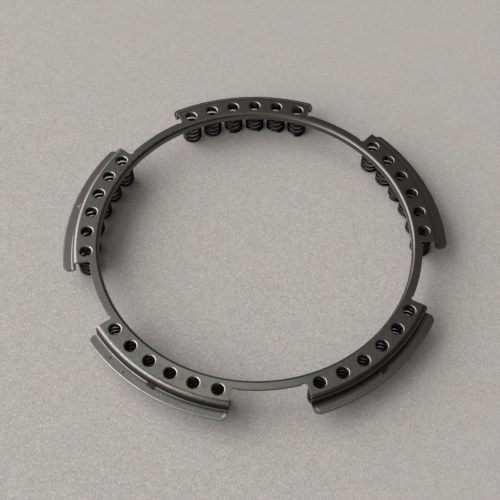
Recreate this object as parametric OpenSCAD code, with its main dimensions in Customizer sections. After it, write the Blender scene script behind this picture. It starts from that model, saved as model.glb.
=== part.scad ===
// Return-spring assembly: a pressed sheet-steel ring with five lobes, each of which carries six coil springs.
// Millimetres, +Z up. The origin is on the ring's axis, in the plane on which the springs stand.

/* [Spring circle] */
// Diameter of the circle through the spring centres
spring_circle_d = 160; // [154:1:172]
// Angle between neighbouring springs of a lobe, in degrees
spring_step = 8; // [7.6:0.1:8.4]

/* [Springs] */
// Outer diameter of a coil
coil_od = 9.7; // [9:0.1:9.8]
// Diameter of the wire
wire_d = 1.3; // [1.1:0.05:1.4]
// Free length, from the foot to the plate
spring_h = 14.8; // [13:0.1:18]
// Number of sprung half turns between the closed ends
open_half_turns = 7; // [5:1:8]
// Gap between the end of the wire and the turn beside it
closed_gap = 0.08; // [0.05:0.01:0.15]

/* [Ring] */
// Thickness of the sheet
sheet_t = 1; // [0.8:0.05:1.05]
// How far the bore's wall lies inside the spring circle
bore_inset = 6; // [6:0.1:7]
// How far the ring's edge between two lobes lies inside the spring circle
edge_inset = 1.2; // [0.8:0.1:1.6]
// Height of the turned-down rim, from the plate's top face
rim_h = 3.6; // [3:0.1:5]
// Outside radius of the rim's bend
rim_bend_r = 1.6; // [1.4:0.1:1.6]

/* [Lobes] */
// Half of the angle that a lobe spans, in degrees
lobe_half = 24; // [23.6:0.1:25]
// How far the lobe's outer wall lies outside the spring circle
wall_outset = 6.6; // [6.4:0.1:8]
// Outside radius of the bend between plate and wall
shoulder_r = 2.1; // [1.8:0.1:2.2]
// Radius in the hollow of the bend between wall and flange
root_r = 0.5; // [0.4:0.1:1]
// Depth of the flange's top face below the plate's top face
flange_drop = 6; // [5.5:0.1:9]
// Width of the flange, from the wall outwards
flange_w = 5; // [4:0.1:7]
// Radius of the flange's corners
flange_corner_r = 3.2; // [2:0.1:3.6]
// Radius to which the edges of the flange and of the rim are worn
worn_r = 0.25; // [0.15:0.05:0.35]
// Radius of the relief notch beside a lobe
notch_r = 1.4; // [1.2:0.1:1.6]
// How far the notch cuts into the ring's edge
notch_cut = 0.5; // [0.3:0.1:0.8]

/* [Collars] */
// Diameter of the hole through a collar
throat_d = 5.1; // [4.6:0.1:5.2]
// Play between a collar and the coil round it, on each side
collar_play = 0.25; // [0.1:0.05:0.4]
// Play between the flared tip of a collar and the coil round it, on each side
tip_play = 0.05; // [0.03:0.01:0.1]
// Length of a collar below the plate
collar_h = 2.6; // [2:0.1:3.4]
// Length of the flared tip of a collar
tip_h = 0.8; // [0.6:0.1:1]
// Thickness of the sheet at the tip of a collar
tip_t = 0.6; // [0.4:0.05:0.7]
// Radius of the hole's mouth
mouth_r = 0.7; // [0.4:0.05:0.8]

/* [Darts] */
// Width of the stiffening dart in the middle of a lobe
dart_w = 3.8; // [3.4:0.1:5]
// Height of the dart on the wall, above the flange
dart_h = 1.7; // [1.4:0.1:2.2]
// Height of the dart's shelf above the flange
dart_step = 0.6; // [0.5:0.05:0.7]
// How far the dart reaches out over the flange
dart_reach = 1.9; // [1.7:0.1:2.3]

/* [Hidden] */
lobes = 5;
springs_per_lobe = 6;
lobe_letters = "abcde";
function spring_name(lobe, place) = str("spring_", lobe_letters[lobe], place + 1);

steel = [0.42, 0.43, 0.41];
black_wire = [0.08, 0.08, 0.09];
ring_fn = 240;
hole_fn = 48;
wire_fn = 24;
// How far a piece runs into the one it joins, or a cutter past the face that it cuts
lap = 0.5;

// Diameters of a collar
coil_id = coil_od - 2 * wire_d;
collar_od = coil_id - 2 * collar_play;
tip_od = coil_id - 2 * tip_play;
// Heights
plate_top = spring_h + sheet_t;
flange_top = plate_top - flange_drop;
// Radii from the ring's axis
circle_r = spring_circle_d / 2;
bore_r = circle_r - bore_inset;
edge_r = circle_r - edge_inset;
wall_r = circle_r + wall_outset;
flange_r = wall_r + flange_w;

// Coil: the wire's centre line, and the rise of each half turn from the foot up
wire_r = wire_d / 2;
coil_r = coil_od / 2 - wire_r;
closing_rise = wire_d + closed_gap;
open_rise = (spring_h - wire_d - 2 * closing_rise) / open_half_turns;
rises = concat([0, closing_rise], [for (i = [1 : open_half_turns]) open_rise], [closing_rise, 0]);
// A half turn leans by its tilt, and its own radius keeps its ends at coil_r from the spring's axis
tilts = [for (rise = rises) atan(rise / (2 * coil_r))];
turn_r = [for (tilt = tilts) coil_r / cos(tilt)];
// How far the foot's wire end is turned from facing the ring's axis, for the six springs of the first lobe
wire_end_turn = [155, 165, -35, 20, 20, 0];
// The same springs in the next lobe round are turned by this much more
turn_per_lobe = 35;

// Lobe 0 lies on +Y and the others follow clockwise, as do the springs of a lobe
function lobe_angle(lobe) = 90 - lobe * 360 / lobes;
function place_angle(place) = -(place - (springs_per_lobe - 1) / 2) * spring_step;

// A quarter of a bent strip: from +X round to +Y about the bend's centre
module bend_section(outer_r, thickness) {
    intersection() {
        difference() {
            circle(r = outer_r, $fn = hole_fn);
            circle(r = outer_r - thickness, $fn = hole_fn);
        }
        square(outer_r + lap);
    }
}

// A straight strip of the sheet along X, with the edges at its far end worn round
module worn_strip(length) {
    square([length - worn_r, sheet_t]);
    translate([0, worn_r])
        square([length, sheet_t - 2 * worn_r]);
    for (height = [worn_r, sheet_t - worn_r])
        translate([length - worn_r, height])
            circle(r = worn_r, $fn = hole_fn);
}

// Section of the sheet, from the bore out: turned-down rim, plate, shoulder, wall, hollow bend and flange
module sheet_section() {
    bend_x = bore_r + rim_bend_r;
    shoulder_x = wall_r - shoulder_r;
    root_x = wall_r + root_r;
    root_z = flange_top + root_r;
    translate([bore_r, plate_top - rim_bend_r])
        rotate(-90)
            worn_strip(rim_h - rim_bend_r);
    translate([bend_x, plate_top - rim_bend_r])
        mirror([1, 0])
            bend_section(rim_bend_r, sheet_t);
    translate([bend_x, plate_top - sheet_t])
        square([shoulder_x - bend_x, sheet_t]);
    translate([shoulder_x, plate_top - shoulder_r])
        bend_section(shoulder_r, sheet_t);
    translate([wall_r - sheet_t, root_z])
        square([sheet_t, plate_top - shoulder_r - root_z]);
    translate([root_x, root_z])
        rotate(180)
            bend_section(root_r + sheet_t, sheet_t);
    translate([root_x, flange_top - sheet_t])
        worn_strip(flange_r - root_x);
}

// A round corner's waste: what lies outside a circle between two directions from its centre
module corner_waste(centre, r, points) {
    difference() {
        polygon(concat([centre], points));
        translate(centre)
            circle(r = r, $fn = hole_fn);
    }
}

// Turns to the end of a lobe on one side: Y runs out along the end face and X points away from the lobe
module lobe_end(side) {
    rotate(side * lobe_half - 90)
        mirror([side < 0 ? 0 : 1, 0])
            children();
}

// The notch's centre: the notch is tangent to the lobe's end face
notch_centre = [notch_r, sqrt(pow(edge_r - notch_cut + notch_r, 2) - notch_r * notch_r)];

// The round corner through which the notch runs out into the ring's edge
module notch_corner_waste() {
    round_r = 1;
    centre_r = edge_r - round_r;
    notch_centre_r = norm(notch_centre);
    spread = acos((centre_r * centre_r + notch_centre_r * notch_centre_r - pow(notch_r + round_r, 2))
                  / (2 * centre_r * notch_centre_r));
    direction = atan2(notch_centre.y, notch_centre.x) - spread;
    outward = [cos(direction), sin(direction)];
    corner_waste(centre_r * outward, round_r, [(edge_r + lap) * outward, notch_centre]);
}

// The corner cut off the flange
module flange_corner_waste() {
    centre_y = sqrt(pow(flange_r - flange_corner_r, 2) - pow(flange_corner_r, 2));
    centre = [-flange_corner_r, centre_y];
    outward = centre / norm(centre);
    corner_waste(centre, flange_corner_r,
                 [(flange_r + lap) * outward, [lap, flange_r + lap], [lap, centre_y]]);
}

// What is cut away beside a lobe, to a little past the middle of the gap between two lobes
module gap_waste() {
    far_y = flange_r + lap;
    near_y = edge_r / 2;
    slope = tan(180 / lobes - lobe_half + 1);
    linear_extrude(plate_top + lap) {
        difference() {
            polygon([[notch_r, near_y], [notch_r, far_y], [slope * far_y, far_y], [slope * near_y, near_y]]);
            circle(r = edge_r, $fn = ring_fn);
        }
        translate([0, notch_centre.y])
            square([2 * notch_r, far_y - notch_centre.y]);
        translate(notch_centre)
            circle(r = notch_r, $fn = hole_fn);
        notch_corner_waste();
        flange_corner_waste();
    }
}

// The dart falls steeply from its head on the wall to the knee, then runs level to a round nose
dart_head = [wall_r, flange_top + dart_h];
dart_knee = [wall_r + 0.45 * dart_reach, flange_top + dart_step];
dart_slope = (dart_knee - dart_head) / norm(dart_knee - dart_head);
dart_inward = [dart_slope.y, -dart_slope.x];
dart_nose_r = dart_step / 2;
dart_nose = [wall_r + dart_reach - dart_nose_r, dart_knee.y - dart_nose_r];

module dart_section() {
    polygon([dart_head - [lap, 0], dart_head, dart_knee, [dart_nose.x, dart_knee.y],
             [dart_nose.x, flange_top - lap], [wall_r - lap, flange_top - lap]]);
    translate([wall_r, flange_top - lap])
        square([dart_reach, dart_nose.y - flange_top + lap]);
    translate(dart_nose)
        circle(r = dart_nose_r, $fn = hole_fn);
}

// Stands a section in X and Z up in the middle of a lobe, at the given width
module across_lobe(width) {
    rotate([90, 0, 0])
        linear_extrude(width, center = true)
            children();
}

module dart() {
    corner_r = dart_w / 5;
    intersection() {
        across_lobe(dart_w)
            dart_section();
        translate([0, 0, flange_top - 2 * lap])
            linear_extrude(dart_h + 4 * lap) {
                translate([wall_r - 2 * lap, -dart_w / 2])
                    square([dart_reach + 2 * lap - corner_r, dart_w]);
                translate([wall_r, corner_r - dart_w / 2])
                    square([dart_reach, dart_w - 2 * corner_r]);
                for (side = [-1, 1])
                    translate([wall_r + dart_reach - corner_r, side * (dart_w / 2 - corner_r)])
                        circle(r = corner_r, $fn = hole_fn);
            }
    }
}

// The dart is pressed out of the sheet, so the inside of the bend has a pocket behind it
module dart_pocket() {
    side_wall = 0.7 * sheet_t;
    below_knee = dart_knee + sheet_t * dart_inward;
    ceiling_z = dart_knee.y - sheet_t;
    bottom_z = flange_top - sheet_t - lap;
    ceiling_start = below_knee + (ceiling_z - below_knee.y) / dart_slope.y * dart_slope;
    mouth_x = wall_r - sheet_t - lap;
    mouth_top = ceiling_start + (mouth_x - ceiling_start.x) / dart_slope.x * dart_slope;
    across_lobe(dart_w - 2 * side_wall)
        polygon([mouth_top, ceiling_start, [dart_nose.x - side_wall, ceiling_z],
                 [dart_nose.x - side_wall, bottom_z], [mouth_x, bottom_z]]);
}

// Height of the tips of the collars
tip_z = plate_top - sheet_t - collar_h;

// Drawn collar under a hole: a short tube with a flared tip, over which the spring's end coil sits
module collar() {
    translate([0, 0, tip_z]) {
        translate([0, 0, tip_h])
            cylinder(d = collar_od, h = collar_h - tip_h + lap, $fn = hole_fn);
        cylinder(d1 = tip_od, d2 = collar_od, h = tip_h, $fn = hole_fn);
    }
}

// What the collar's hole takes away: a round mouth, a straight throat and the widened tip
module collar_bore() {
    throat_r = throat_d / 2;
    translate([0, 0, tip_z - lap])
        cylinder(r = throat_r, h = collar_h + sheet_t + 2 * lap, $fn = hole_fn);
    translate([0, 0, tip_z])
        cylinder(r1 = tip_od / 2 - tip_t, r2 = throat_r, h = tip_h, $fn = hole_fn);
    translate([0, 0, plate_top - mouth_r])
        rotate_extrude($fn = hole_fn)
            difference() {
                square([throat_r + mouth_r, mouth_r + lap]);
                translate([throat_r + mouth_r, 0])
                    circle(r = mouth_r, $fn = hole_fn);
            }
}

module at_places() {
    for (place = [0 : springs_per_lobe - 1])
        rotate(place_angle(place))
            translate([circle_r, 0, 0])
                children();
}

// One piece of sheet: a ring whose outer part is cut away between the lobes, with darts and collars
module retainer() {
    color(steel)
        difference() {
            union() {
                rotate(lobe_angle(0.5))
                    rotate_extrude($fn = ring_fn)
                        sheet_section();
                for (lobe = [0 : lobes - 1])
                    rotate(lobe_angle(lobe)) {
                        dart();
                        at_places()
                            collar();
                    }
            }
            for (lobe = [0 : lobes - 1])
                rotate(lobe_angle(lobe)) {
                    for (side = [-1, 1])
                        lobe_end(side)
                            gap_waste();
                    dart_pocket();
                    at_places()
                        collar_bore();
                }
        }
}

// The coil from one half turn up: each next one is hinged to the end face of the wire below it
module coil_from(i) {
    rotate_extrude(angle = 180, $fn = hole_fn)
        translate([turn_r[i], 0])
            circle(r = wire_r, $fn = wire_fn);
    if (i + 1 < len(rises))
        translate([-turn_r[i], 0, 0])
            rotate([0, -tilts[i] - tilts[i + 1], 0])
                rotate(180)
                    translate([-turn_r[i + 1], 0, 0])
                        coil_from(i + 1);
}

// One coil spring, right-hand wound, with a closed turn at both ends and flat-cut wire
module spring(lobe, place) {
    color(black_wire)
        rotate(lobe_angle(lobe) + place_angle(place))
            translate([circle_r, 0, wire_r])
                rotate(180 + wire_end_turn[place] + turn_per_lobe * lobe)
                    coil_from(0);
}

retainer();
for (lobe = [0 : lobes - 1], place = [0 : springs_per_lobe - 1])
    spring(lobe, place);
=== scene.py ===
import math

import bmesh
import bpy
from mathutils import Matrix, Vector

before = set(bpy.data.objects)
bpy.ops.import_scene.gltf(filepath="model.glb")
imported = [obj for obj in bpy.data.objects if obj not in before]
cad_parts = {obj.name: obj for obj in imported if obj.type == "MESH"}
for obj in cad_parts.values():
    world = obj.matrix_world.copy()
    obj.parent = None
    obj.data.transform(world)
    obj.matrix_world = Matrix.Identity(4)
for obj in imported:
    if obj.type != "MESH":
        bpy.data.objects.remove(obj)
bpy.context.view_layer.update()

MM = 0.001


def rgb(red, green, blue):
    return (red, green, blue, 1.0)


# The camera, which stands over the near side of the ring
CAMERA_AT = Vector((-0.02198, -0.24697, 0.39992))
CAMERA_LOOK = Vector((0.0415, 0.5284, -0.8480))
CAMERA_ROLL = math.radians(0.355)
LENS_MM = 69.58
SENSOR_MM = 36
CLIP_FROM, CLIP_TO = 0.01, 20

# The floor's half width, and how far it lies below the springs' feet
FLOOR_HALF = 1.5
FLOOR_DROP = 0.05 * MM

# The sheet's section: radii from the ring's axis, and heights above the springs' feet
SHEET = 1.0 * MM
BORE_R = 74.0 * MM
EDGE_R = 78.8 * MM
HOLE_RING_R = 80.0 * MM
WALL_R = 86.6 * MM
FLANGE_R = 91.6 * MM
FLANGE_TOP = 9.8 * MM
RIM_FOOT = 12.2 * MM
PLATE_TOP = 15.8 * MM
RIM_BEND_R = 1.6 * MM
WORN_R = 0.25 * MM
# These two bends are shaded rounder than the solid's 2.1 mm and 0.5 mm, for wider highlights
SHOULDER_R = 2.45 * MM
ROOT_R = 1.2 * MM
# Radius to which wear seems to round the sharp edges, and radius of the holes' bright mouths
EDGE_WEAR = 0.22 * MM
MOUTH_R = 3.55 * MM
# Cosines past which a face is taken to lie along the section's normal, or to be level
ALIGNED = 0.75
LEVEL = 0.99999

# Bearings round the ring's axis, in degrees anticlockwise from +X
RIGHT_LOBE = 18
FAR_LEFT_LOBE = 162
NEAR_LEFT_LOBE = -126
NEAR_RIGHT_LOBE = -54
FAR_RIGHT_GAP = 54
PALE_RIM_GAP = 256
# Beside this gap the rim bend's highlight is dimmed with painted shade
DIMMED_HIGHLIGHT_GAP = 335
# A warm reflection of the room is painted into the steel towards this side
WARM_REFLECTION_SIDE = 30
LOBE_STEP = 72
LOBE_HALF = 24
HOLE_STEP = 8
# Towards a lobe's bearing, its neighbours' walls end before these marks and its own lies past them
LOBE_MARKS = (58 * MM, 72 * MM)

# Painted shade on the outside of three lobes: bearing, share of the steel that it covers, and how
# far below the plate's top, in mm, it is full and where it ends
SHADED_LOBES = [
    (NEAR_RIGHT_LOBE, 0.76, 1.6, 0.4),
    (RIGHT_LOBE, 0.78, 0.6, 0.12),
    (NEAR_LEFT_LOBE, 0.90, 2.2, 1.2),
]

# Round marks, in mm: x, y and height of the middle, and the radii within which a mark is full and
# beyond which it is gone
STAIN = (-29, -77, 15.8, 6, 18)
SPECKS = [(-69.1, -55.9, 9.8, 0.3, 0.8), (-63.4, -63.2, 9.8, 0.3, 0.8)]
# Painted glint on the far-left lobe's dart
DART_GLINT = (-84.85, 27.2, 9.9, 0.2, 0.9)
# Centres of the painted highlights on the flange corners beside the near gap: x on either side of
# it, and y
CORNER_X = 21.5 * MM
CORNER_Y = -85.7 * MM

# Colours of the steel
STEEL_DARK = rgb(0.124, 0.124, 0.121)
STEEL_LIGHT = rgb(0.143, 0.143, 0.139)
STEEL_MOTTLE = rgb(0.150, 0.149, 0.143)
DARK_FLECK = rgb(0.105, 0.107, 0.101)
PALE_FLECK = rgb(0.215, 0.214, 0.198)
STAINED = rgb(0.225, 0.224, 0.196)
# Painted reflection: warmer, darker steel standing in for the room's warm light on the far right
PAINTED_WARM_REFLECTION = rgb(0.130, 0.118, 0.112)
WARM_FLANGE = rgb(0.160, 0.147, 0.147)
PALE_RIM_COLOUR = rgb(0.184, 0.184, 0.174)
BARE_EDGE = rgb(0.24, 0.235, 0.23)
# Painted shade that dims the rim bend's highlight
PAINTED_DIMMING = rgb(0.01, 0.01, 0.01)
# Painted highlight on the near flanges' upper edge
PAINTED_LIP_HIGHLIGHT = rgb(0.34, 0.335, 0.32)
# Painted highlight on the holes' mouths
PAINTED_MOUTH_HIGHLIGHT = rgb(0.34, 0.335, 0.33)
# Painted highlight on the flange corners
CORNER_GLINT = rgb(0.37, 0.36, 0.35)
SPECK = rgb(0.03, 0.03, 0.03)
# Painted glint on the far-left lobe's dart
PAINTED_DART_GLINT = rgb(0.46, 0.45, 0.45)
# Painted shade: a near-black dull finish laid over walls and edges that look dark
PAINTED_SHADE_COLOUR = rgb(0.012, 0.008, 0.007)

# Colours of the spring wire
# Painted shade on the wire's underside
WIRE_PAINTED_SHADE = rgb(0.004, 0.004, 0.004)
WIRE_DARK = rgb(0.020, 0.019, 0.019)
WIRE_LIGHT = rgb(0.036, 0.035, 0.034)

# Colours of the foam
# Painted light: the foam is lighter towards the window at the left and dimmer at the right
FOAM_WINDOW_SIDE = rgb(0.400, 0.400, 0.388)
FOAM_FAR_SIDE = rgb(0.375, 0.375, 0.364)
FOAM_GREEN = rgb(0.384, 0.402, 0.386)
FOAM_RED = rgb(0.410, 0.392, 0.382)
FOAM_GLINT = rgb(0.72, 0.71, 0.69)

# The light: one wide window at the left of the table, and weaker glows from ceiling and walls.
# Angles are in degrees, azimuth anticlockwise from +X and elevation up from the floor.
WINDOW_COLOUR = (1.04, 0.985, 0.98)
CEILING_COLOUR = (0.99, 1.01, 0.94)
ROOM_COLOUR = (1.16, 0.98, 0.90)
BACKDROP_COLOUR = (0.42, 0.41, 0.40)
WINDOW_RADIANCE = 4.7
ROOM_RADIANCE = 0.062
WINDOW_CENTRE = 174
# Where the window starts and is full, and starts to fade and ends: from its centre, and in height
WINDOW_SIDES = (-70, -42, 28, 68)
WINDOW_RISE = (-2, 29, 42, 70)
# Azimuth, elevation, sharpness and radiance of each glow
GLOWS = [
    (103, 71, 72, 1.85),
    (105, 40, 12, 0.23),
    (91, 65, 100, 0.20),
    (104, 54, 60, 0.12),
    (35, 20, 6, 0.12),
    (283, 69, 30, 0.5),
    (242, 28, 20, 1.2),
]


class Value:
    """One output of a node. Arithmetic on it adds Math nodes to the same tree."""

    def __init__(self, tree, output):
        self.tree = tree
        self.output = output

    def math(self, operation, *inputs):
        return self.tree.math(operation, *inputs)

    def __add__(self, other):
        return self.math("ADD", self, other)

    def __sub__(self, other):
        return self.math("SUBTRACT", self, other)

    def __rsub__(self, other):
        return self.math("SUBTRACT", other, self)

    def __mul__(self, other):
        return self.math("MULTIPLY", self, other)

    def __truediv__(self, other):
        return self.math("DIVIDE", self, other)

    def __pow__(self, other):
        return self.math("POWER", self, other)

    def __rpow__(self, other):
        return self.math("POWER", other, self)

    def __gt__(self, other):
        return self.math("GREATER_THAN", self, other)

    def __lt__(self, other):
        return self.math("LESS_THAN", self, other)

    __radd__ = __add__
    __rmul__ = __mul__


class Tree:
    """The nodes of one material, or of the world."""

    def __init__(self, owner):
        owner.use_nodes = True
        self.nodes = owner.node_tree.nodes
        self.links = owner.node_tree.links
        self.nodes.clear()

    def add(self, kind, settings=None, inputs=None, output=0):
        """Makes a node from its type, its settings and the values or links of its sockets."""
        node = self.nodes.new(kind)
        for name, setting in (settings or {}).items():
            setattr(node, name, setting)
        for name, value in (inputs or {}).items():
            if isinstance(value, Value):
                self.links.new(value.output, node.inputs[name])
            else:
                node.inputs[name].default_value = value
        return Value(self, node.outputs[output] if node.outputs else None)

    def position(self):
        """The shaded point, in the part's own frame."""
        return self.add("ShaderNodeTexCoord", output="Object")

    def split(self, vector):
        """The three parts of a vector."""
        apart = self.add("ShaderNodeSeparateXYZ", {}, {"Vector": vector}).output.node
        return [Value(self, apart.outputs[axis]) for axis in "XYZ"]

    def noise(self, vector, scale, detail=2.0, roughness=0.5):
        """Noise from 0 to 1; scale is in features per metre."""
        return self.add("ShaderNodeTexNoise", {}, {
            "Vector": vector, "Scale": scale, "Detail": detail, "Roughness": roughness})

    def ramp(self, value, low, high):
        """0 up to low, 1 from high on, and smooth between them."""
        return self.add("ShaderNodeMapRange", {"interpolation_type": "SMOOTHSTEP"}, {
            "Value": value, "From Min": low, "From Max": high})

    def mix(self, factor, first, second):
        """Blends two colours."""
        inputs = {0: factor, 6: first, 7: second}
        return self.add("ShaderNodeMix", {"data_type": "RGBA"}, inputs, 2)

    def blend(self, factor, first, second):
        """Blends two vectors."""
        inputs = {0: factor, 4: first, 5: second}
        return self.add("ShaderNodeMix", {"data_type": "VECTOR"}, inputs, 1)

    def math(self, operation, *inputs):
        return self.add("ShaderNodeMath", {"operation": operation}, dict(enumerate(inputs)))

    def vector(self, operation, *inputs, output=0):
        return self.add(
            "ShaderNodeVectorMath", {"operation": operation}, dict(enumerate(inputs)), output)

    def scaled(self, vector, factor):
        """A vector or a colour times a number."""
        return self.add(
            "ShaderNodeVectorMath", {"operation": "SCALE"}, {0: vector, "Scale": factor})

    def dot(self, first, second):
        return self.vector("DOT_PRODUCT", first, second, output="Value")

    def length(self, vector):
        return self.vector("LENGTH", vector, output="Value")

    def larger(self, first, second):
        return self.math("MAXIMUM", first, second)

    def bump(self, height, strength, distance, normal=None):
        inputs = {"Height": height, "Strength": strength, "Distance": distance}
        if normal is not None:
            inputs["Normal"] = normal
        return self.add("ShaderNodeBump", {}, inputs)

    def principled(self, **inputs):
        """The Principled shader, with its sockets named by keyword."""
        return self.add("ShaderNodeBsdfPrincipled", {}, {
            name.replace("_", " "): value for name, value in inputs.items()})

    def surface(self, shader):
        self.add("ShaderNodeOutputMaterial", {}, {"Surface": shader})


class Place:
    """The shaded point on the ring, with its height and its distance from the ring's axis."""

    def __init__(self, tree):
        self.tree = tree
        self.at = tree.position()
        self.x, self.y, self.height = tree.split(self.at)
        self.level = tree.vector("MULTIPLY", self.at, (1, 1, 0))
        self.radius = tree.length(self.level)

    def toward(self, bearing):
        """How far from the ring's axis the point lies towards a bearing."""
        return self.tree.dot(self.at, compass(bearing, 0))


def compass(azimuth, elevation):
    """The direction with this azimuth and elevation, in degrees."""
    turn, rise = math.radians(azimuth), math.radians(elevation)
    return (math.cos(rise) * math.cos(turn), math.cos(rise) * math.sin(turn), math.sin(rise))


def section_boxes():
    """Parts of the sheet's section: a bend as its box and its centre, a wall as its box alone."""
    # A box reaches this far past the sheet's faces
    out = SHEET / 2
    top = PLATE_TOP + out
    rim_x, rim_z = BORE_R + RIM_BEND_R, PLATE_TOP - RIM_BEND_R
    shoulder_x, shoulder_z = WALL_R - SHOULDER_R, PLATE_TOP - SHOULDER_R
    root_x, root_z = WALL_R + ROOT_R, FLANGE_TOP + ROOT_R
    under_flange = FLANGE_TOP - SHEET
    lip_x, lip_top = FLANGE_R - 2 * WORN_R, FLANGE_TOP - 2 * WORN_R
    lip_foot = under_flange + 2 * WORN_R
    foot_z, rim_mid, rim_back = RIM_FOOT + WORN_R, BORE_R + out, BORE_R + SHEET
    bends = [
        ((BORE_R - out, rim_x), (rim_z, top), (rim_x, rim_z)),
        ((shoulder_x, WALL_R + out), (shoulder_z, top), (shoulder_x, shoulder_z)),
        ((WALL_R - SHEET - out, root_x), (under_flange - out, root_z), (root_x, root_z)),
        ((lip_x, FLANGE_R + out), (lip_top, FLANGE_TOP + out), (lip_x, lip_top)),
        ((lip_x, FLANGE_R + out), (under_flange - out, lip_foot), (lip_x, lip_foot)),
        ((BORE_R - out, rim_mid), (RIM_FOOT - out, foot_z), (BORE_R + WORN_R, foot_z)),
        ((rim_mid, rim_back + out), (RIM_FOOT - out, foot_z), (rim_back - WORN_R, foot_z)),
    ]
    walls = [
        ((BORE_R - out, rim_x), (foot_z, rim_z)),
        ((WALL_R - SHEET - out, WALL_R + WORN_R / 5), (root_z, shoulder_z)),
        ((lip_x, FLANGE_R + out), (lip_foot, lip_top)),
    ]
    return bends, walls


def section_normal(tree, place):
    """The true normal of the bends and walls round the ring's axis, and zero elsewhere."""
    outward = tree.vector("NORMALIZE", place.level)
    bends, walls = section_boxes()
    total = (0.0, 0.0, 0.0)
    for box in bends + walls:
        (near, far), (low, high) = box[:2]
        here = (place.radius > near) * (place.radius < far)
        here = here * (place.height > low) * (place.height < high)
        if len(box) == 3:
            # On a bend, the normal runs along the offset from the centre, here in mm
            centre_r, centre_z = box[2]
            out = (place.radius - centre_r) / MM * here
            up = (place.height - centre_z) / MM * here
            total = tree.vector("ADD", total, tree.scaled((0.0, 0.0, 1.0), up))
        else:
            out = here
        total = tree.vector("ADD", total, tree.scaled(outward, out))
    return tree.vector("NORMALIZE", total)


def smooth_normal(tree, place):
    """The mesh's shading normal, made exact where the face lies along the section's own normal."""
    exact = section_normal(tree, place)
    geometry = tree.add("ShaderNodeNewGeometry", output="Normal").output.node
    smooth = Value(tree, geometry.outputs["Normal"])
    facet = Value(tree, geometry.outputs["True Normal"])
    along = tree.dot(exact, facet)
    of_section = tree.math("ABSOLUTE", along) > ALIGNED
    exact = tree.scaled(exact, tree.math("SIGN", along))
    flat = tree.math("ABSOLUTE", tree.dot(facet, (0.0, 0.0, 1.0))) > LEVEL
    smooth = tree.blend(flat, smooth, facet)
    return tree.blend(of_section, smooth, exact)


def spot(tree, place, mark):
    """1 in the core of a round mark and 0 beyond its rim."""
    x, y, height, core, rim = (size * MM for size in mark)
    away = tree.vector("DISTANCE", place.at, (x, y, height), output="Value")
    return 1 - tree.ramp(away, core, rim)


def far_left(tree, place):
    """1 on the outer part of the far-left lobe."""
    return tree.ramp(place.toward(FAR_LEFT_LOBE), 80 * MM, 83 * MM)


def shaded_walls(tree, place):
    """How far painted shade darkens the outside of three lobes, from the hollow bend up."""
    over_root = tree.ramp(place.height, FLANGE_TOP + 0.1 * MM, FLANGE_TOP + 0.4 * MM)
    outside = tree.ramp(place.radius, WALL_R - 1.9 * MM, WALL_R - 0.6 * MM)
    painted_shade = 0.0
    for bearing, share, full, clear in SHADED_LOBES:
        on_lobe = tree.ramp(place.toward(bearing), *LOBE_MARKS)
        below = 1 - tree.ramp(place.height, PLATE_TOP - full * MM, PLATE_TOP - clear * MM)
        painted_shade = tree.larger(on_lobe * below * share, painted_shade)
    return over_root * outside * painted_shade


def shaded_edges(tree, place):
    """How far painted shade darkens the far-left flange's rim, and the ring's cut edge between the
    lobes.
    """
    lip = tree.ramp(place.radius, FLANGE_R - 0.45 * MM, FLANGE_R - 0.25 * MM)
    at_edge = 1 - tree.ramp(tree.math("ABSOLUTE", place.radius - EDGE_R), 0.1 * MM, 0.2 * MM)
    below_top = place.height < PLATE_TOP - 0.06 * MM
    return tree.larger(lip * far_left(tree, place) * 0.85, at_edge * below_top * 0.95)


def pale_rim(tree, place):
    """1 on the top of the plain rim beside the near gap, where it is made lighter."""
    on_rim = 1 - tree.ramp(place.radius, 77.5 * MM, 79 * MM)
    return on_rim * tree.ramp(place.toward(PALE_RIM_GAP), 65 * MM, 74 * MM)


def dimmed_rim_highlight(tree, place):
    """Painted shade: 1 on the rim's bend beside the right-hand gap, where its highlight is dimmed.
    """
    on_bend = 1 - tree.ramp(place.radius, 75.4 * MM, 75.9 * MM)
    return on_bend * tree.ramp(place.toward(DIMMED_HIGHLIGHT_GAP), 69 * MM, 73.5 * MM)


def lip_highlight(tree, place):
    """Painted highlight: 1 along the outer upper edge of the near flanges, where the rounded edge
    catches the window.
    """
    near = 1 - tree.ramp(place.y, -62 * MM, -40 * MM)
    at_lip = tree.ramp(place.radius, FLANGE_R - 0.8 * MM, FLANGE_R - 0.5 * MM)
    on_top = (place.height > FLANGE_TOP - 0.25 * MM) * (place.height < FLANGE_TOP + 0.1 * MM)
    return at_lip * on_top * near


def from_hole(tree, place):
    """Distance from the axis of the nearest hole, and 1 on the lobes."""
    turn = tree.math("ARCTAN2", place.y, place.x) * math.degrees(1)
    lobe_turn = tree.math("FLOORED_MODULO", turn - FAR_RIGHT_GAP, LOBE_STEP) - LOBE_STEP / 2
    on_lobe = 1 - tree.ramp(tree.math("ABSOLUTE", lobe_turn), LOBE_HALF - 0.4, LOBE_HALF)
    # The 10 keeps the count of steps positive, and its fraction is 0.5 at the middle of a hole
    hole_turn = tree.math("FRACT", lobe_turn / HOLE_STEP + 10) - 0.5
    along = hole_turn * (math.radians(HOLE_STEP) * HOLE_RING_R)
    return ((place.radius - HOLE_RING_R) ** 2 + along * along) ** 0.5, on_lobe


def hole_mouths(tree, place, normal):
    """Painted highlight: how bright the rounded mouths of the holes are where they face the
    window.
    """
    away, on_lobe = from_hole(tree, place)
    mouth = 1 - tree.ramp(away, MOUTH_R - 0.1 * MM, MOUTH_R + 0.2 * MM)
    on_top = place.height > PLATE_TOP - 0.8 * MM
    facing = tree.ramp(tree.dot(normal, (-0.75, -0.66, 0)), 0.05, 0.4)
    leftward = 1 - tree.ramp(place.x, -60 * MM, 70 * MM)
    far = tree.ramp(place.y, -20 * MM, 30 * MM)
    shine = 0.14 + leftward * 0.76 * (1 - 0.35 * far)
    return mouth * on_lobe * facing * on_top * shine


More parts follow.
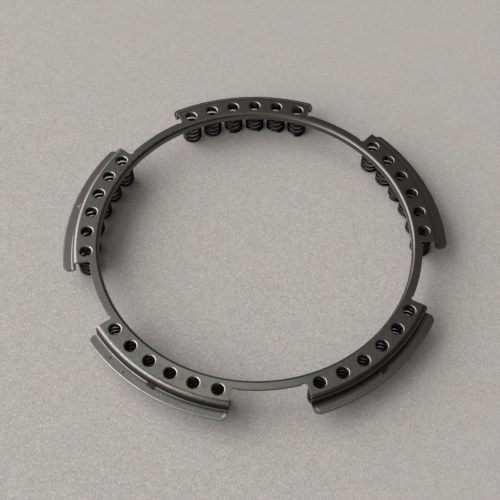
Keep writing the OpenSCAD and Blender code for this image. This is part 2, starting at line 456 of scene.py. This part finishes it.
def corner_glint(tree, place, side):
    """Painted highlight: 1 on the crescent along one flange corner beside the near gap; side is -1
    or 1.
    """
    off = tree.vector("SUBTRACT", place.at, (side * CORNER_X, CORNER_Y, FLANGE_TOP))
    away = tree.length(off)
    outward = tree.dot(tree.vector("NORMALIZE", off), (-side * 0.80, -0.60, 0))
    crescent = tree.ramp(away, 1.2 * MM, 1.6 * MM) * (1 - tree.ramp(away, 2.0 * MM, 2.3 * MM))
    return crescent * tree.ramp(outward, 0.55, 0.95)


def sheet_colour(tree, place, clouds, mottle):
    """Grey steel with soft clouds, a mottle, and dark and pale flecks."""
    dark = tree.ramp(tree.noise(place.at, 700, 3, 0.6), 0.35, 0.65)
    pale = tree.ramp(tree.noise(place.at, 820, 2, 0.6), 0.50, 0.68)
    colour = tree.mix(tree.ramp(clouds, 0.3, 0.7), STEEL_DARK, STEEL_LIGHT)
    colour = tree.mix(tree.ramp(mottle, 0.35, 0.7) * 0.5, colour, STEEL_MOTTLE)
    colour = tree.mix(dark * 0.25, colour, DARK_FLECK)
    return tree.mix(pale * 0.5, colour, PALE_FLECK)


def tinted(tree, place, colour, stain):
    """Adds the stain, a painted warm reflection of the room on the far right, and the warm flange
    at the far left.
    """
    # Painted reflection of the room's warm light, stronger towards the far right
    warm_reflection = tree.ramp(place.toward(WARM_REFLECTION_SIDE), 20 * MM, 70 * MM)
    outside = tree.ramp(tree.length(place.at), 87.4 * MM, 87.9 * MM)
    colour = tree.mix(stain * 0.65, colour, STAINED)
    colour = tree.mix(warm_reflection * 0.6, colour, PAINTED_WARM_REFLECTION)
    return tree.mix(far_left(tree, place) * outside * 0.8, colour, WARM_FLANGE)


def wear_and_highlights(tree, place, colour, edge, normal):
    """Adds worn edges, a lighter patch on the rim, painted highlights on lips, hole mouths and
    corners, and painted shade on the rim's bend.
    """
    colour = tree.mix(pale_rim(tree, place) * 0.9, colour, PALE_RIM_COLOUR)
    colour = tree.mix(edge * 0.5, colour, BARE_EDGE)
    # Painted shade over part of the rim bend's highlight, then painted highlights on the near
    # lips, the hole mouths and the flange corners
    colour = tree.mix(dimmed_rim_highlight(tree, place) * 0.42, colour, PAINTED_DIMMING)
    colour = tree.mix(lip_highlight(tree, place) * 0.7, colour, PAINTED_LIP_HIGHLIGHT)
    colour = tree.mix(hole_mouths(tree, place, normal), colour, PAINTED_MOUTH_HIGHLIGHT)
    for side in (-1, 1):
        colour = tree.mix(corner_glint(tree, place, side), colour, CORNER_GLINT)
    return colour


def marked(tree, place, colour):
    """Adds the dark specks and a painted glint on the far-left lobe's dart."""
    for speck in SPECKS:
        colour = tree.mix(spot(tree, place, speck) * 0.8, colour, SPECK)
    return tree.mix(spot(tree, place, DART_GLINT), colour, PAINTED_DART_GLINT)


def pressed_steel():
    """Bare pressed sheet, satin, with worn edges, a stain, painted highlights, and painted shade
    on some walls and edges.
    """
    material = bpy.data.materials.new("pressed_steel")
    tree = Tree(material)
    place = Place(tree)
    smooth = smooth_normal(tree, place)
    rounded = tree.add("ShaderNodeBevel", {"samples": 8}, {"Radius": EDGE_WEAR})
    edge = tree.ramp(1 - tree.dot(rounded, smooth), 0.03, 0.12)

    clouds = tree.noise(place.at, 60, 4, 0.55)
    mottle = tree.noise(place.at, 260, 3, 0.6)
    grain = tree.noise(place.at, 2600, 3, 0.6)
    on_plate = tree.ramp(place.height, PLATE_TOP - 0.4 * MM, PLATE_TOP - 0.1 * MM)
    stain = spot(tree, place, STAIN) * tree.ramp(mottle, 0.34, 0.54) * on_plate

    colour = sheet_colour(tree, place, clouds, mottle)
    colour = tinted(tree, place, colour, stain)
    colour = wear_and_highlights(tree, place, colour, edge, rounded)
    colour = marked(tree, place, colour)
    rough = 0.20 + 0.05 * clouds + 0.03 * mottle + 0.05 * stain
    facing = tree.blend(edge, smooth, rounded)
    bumped = tree.bump(grain * 0.6 + mottle * 0.4, 0.06, 0.02 * MM, facing)
    bare = tree.principled(Base_Color=colour, Metallic=1.0, Roughness=rough, Normal=bumped)

    # Painted shade, mixed over the bare steel on the darkened walls and edges
    shade_shader = tree.principled(Base_Color=PAINTED_SHADE_COLOUR, Roughness=0.6, Specular_IOR_Level=0.2)
    painted_shade = tree.larger(shaded_walls(tree, place), shaded_edges(tree, place))
    tree.surface(tree.add("ShaderNodeMixShader", {}, {0: painted_shade, 1: bare, 2: shade_shader}))
    return material


def spring_wire():
    """Black oiled wire, with painted shade on its underside and painted light greying its upper
    side.
    """
    material = bpy.data.materials.new("spring_wire")
    tree = Tree(material)
    place = tree.position()
    clouds = tree.noise(place, 300, 3)
    grain = tree.noise(place, 2500, 2)
    normal = tree.add("ShaderNodeNewGeometry", output="Normal")
    # Painted light and shade: the upper side takes the greyer colours, the underside near black
    lit_from_above = tree.ramp(tree.dot(normal, (0, 0, 1)), -0.1, 0.5)
    colour = tree.mix(lit_from_above, WIRE_PAINTED_SHADE, tree.mix(clouds, WIRE_DARK, WIRE_LIGHT))
    rough = 0.12 + 0.10 * clouds
    bumped = tree.bump(grain, 0.08, 0.02 * MM)
    tree.surface(tree.principled(Base_Color=colour, Metallic=1.0, Roughness=rough, Normal=bumped))
    return material


def foam_sharpness(tree, place):
    """1 where the foam's fibres are sharp, and less where the lens blurs them."""
    far = tree.ramp(tree.dot(place, (0.45, 0.89, 0)), -0.02, 0.22)
    near_right = tree.ramp(tree.dot(place, (0.6, -0.8, 0)), 0.07, 0.16)
    return 1 - tree.larger(far * 0.6, near_right * 0.4)


def foam_floor():
    """Pale foam sheet, painted lighter towards the window: short fibres along Y over a soft
    mottle, and here and there a glint.
    """
    material = bpy.data.materials.new("foam_floor")
    tree = Tree(material)
    place = tree.position()
    along = tree.vector("MULTIPLY", place, (1, 0.55, 1))
    fibres = tree.ramp(tree.noise(along, 1500, 3, 0.65), 0.36, 0.74)
    tufts = tree.ramp(tree.noise(along, 430, 2, 0.5), 0.3, 0.7)
    mottle = tree.ramp(tree.noise(along, 150, 2, 0.5), 0.3, 0.7)
    glints = tree.ramp(tree.noise(along, 1500, 1, 0.5), 0.68, 0.78)
    tint = tree.ramp(tree.noise(place, 42, 2, 0.5), 0.35, 0.65)
    sharp = foam_sharpness(tree, place)
    # Painted light falling off from the window at the left to the right
    window_falloff = tree.ramp(tree.dot(place, (1, 0, 0)), -0.16, 0.16)
    colour = tree.mix(window_falloff, FOAM_WINDOW_SIDE, FOAM_FAR_SIDE)
    colour = tree.mix(0.5, colour, tree.mix(tint, FOAM_GREEN, FOAM_RED))
    shade = (fibres - 0.4) * 0.40 + (tufts - 0.5) * 0.10 + (mottle - 0.5) * 0.045
    colour = tree.scaled(colour, 1 + shade * sharp)
    colour = tree.mix(glints * sharp * 0.4, colour, FOAM_GLINT)
    bumped = tree.bump(fibres * 0.5 + tufts * 0.5, 0.15, 0.25 * MM)
    tree.surface(tree.principled(Base_Color=colour, Roughness=0.75, Normal=bumped))
    return material


def dress(node, material):
    """Puts a material on every slot of a CAD node."""
    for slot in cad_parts[node].material_slots:
        slot.material = material


def make_floor():
    shape = bmesh.new()
    bmesh.ops.create_grid(shape, x_segments=1, y_segments=1, size=FLOOR_HALF)
    bmesh.ops.translate(shape, verts=shape.verts, vec=(0, 0, -FLOOR_DROP))
    mesh = bpy.data.meshes.new("floor")
    shape.to_mesh(mesh)
    shape.free()
    floor = bpy.data.objects.new("floor", mesh)
    bpy.context.scene.collection.objects.link(floor)
    mesh.materials.append(foam_floor())


def make_camera():
    lens = bpy.data.cameras.new("camera")
    lens.lens = LENS_MM
    lens.sensor_width = SENSOR_MM
    lens.clip_start = CLIP_FROM
    lens.clip_end = CLIP_TO
    camera = bpy.data.objects.new("camera", lens)
    bpy.context.scene.collection.objects.link(camera)
    camera.location = CAMERA_AT
    camera.rotation_mode = "QUATERNION"
    level = CAMERA_LOOK.to_track_quat("-Z", "Y")
    camera.rotation_quaternion = level @ Matrix.Rotation(CAMERA_ROLL, 3, "Z").to_quaternion()
    bpy.context.scene.camera = camera


def window_pane(tree, direction):
    """1 inside the window and 0 outside it, with soft edges."""
    ahead = tree.dot(direction, compass(WINDOW_CENTRE, 0))
    aside = tree.dot(direction, compass(WINDOW_CENTRE + 90, 0))
    up = tree.dot(direction, (0, 0, 1))
    turn = tree.math("ARCTAN2", aside, ahead) * math.degrees(1)
    rise = tree.math("ARCSINE", up) * math.degrees(1)
    pane = 1.0
    for angle, marks in ((turn, WINDOW_SIDES), (rise, WINDOW_RISE)):
        start, full, fade, end = marks
        pane = tree.ramp(angle, start, full) * (1 - tree.ramp(angle, fade, end)) * pane
    return pane


def make_world():
    """The window, the room's even light and the glows; the camera itself sees a plain backdrop."""
    world = bpy.data.worlds.new("studio")
    bpy.context.scene.world = world
    tree = Tree(world)
    direction = tree.add("ShaderNodeTexCoord", output="Generated")
    light = tree.scaled(WINDOW_COLOUR, window_pane(tree, direction) * WINDOW_RADIANCE)
    light = tree.vector("ADD", light, [part * ROOM_RADIANCE for part in ROOM_COLOUR])
    for azimuth, elevation, sharpness, radiance in GLOWS:
        off = 1 - tree.dot(direction, compass(azimuth, elevation))
        strength = math.e ** (off * -sharpness) * radiance
        light = tree.vector("ADD", tree.scaled(CEILING_COLOUR, strength), light)
    seen = tree.add("ShaderNodeLightPath", output="Is Camera Ray")
    light = tree.blend(seen, light, BACKDROP_COLOUR)
    back = tree.add("ShaderNodeBackground", {}, {"Color": light, "Strength": 1.0})
    tree.add("ShaderNodeOutputWorld", {}, {"Surface": back})


make_camera()
make_world()
make_floor()

steel = pressed_steel()
wire = spring_wire()
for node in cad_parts:
    dress(node, steel if node == "retainer" else wire)

bpy.context.scene.view_settings.view_transform = "Standard"
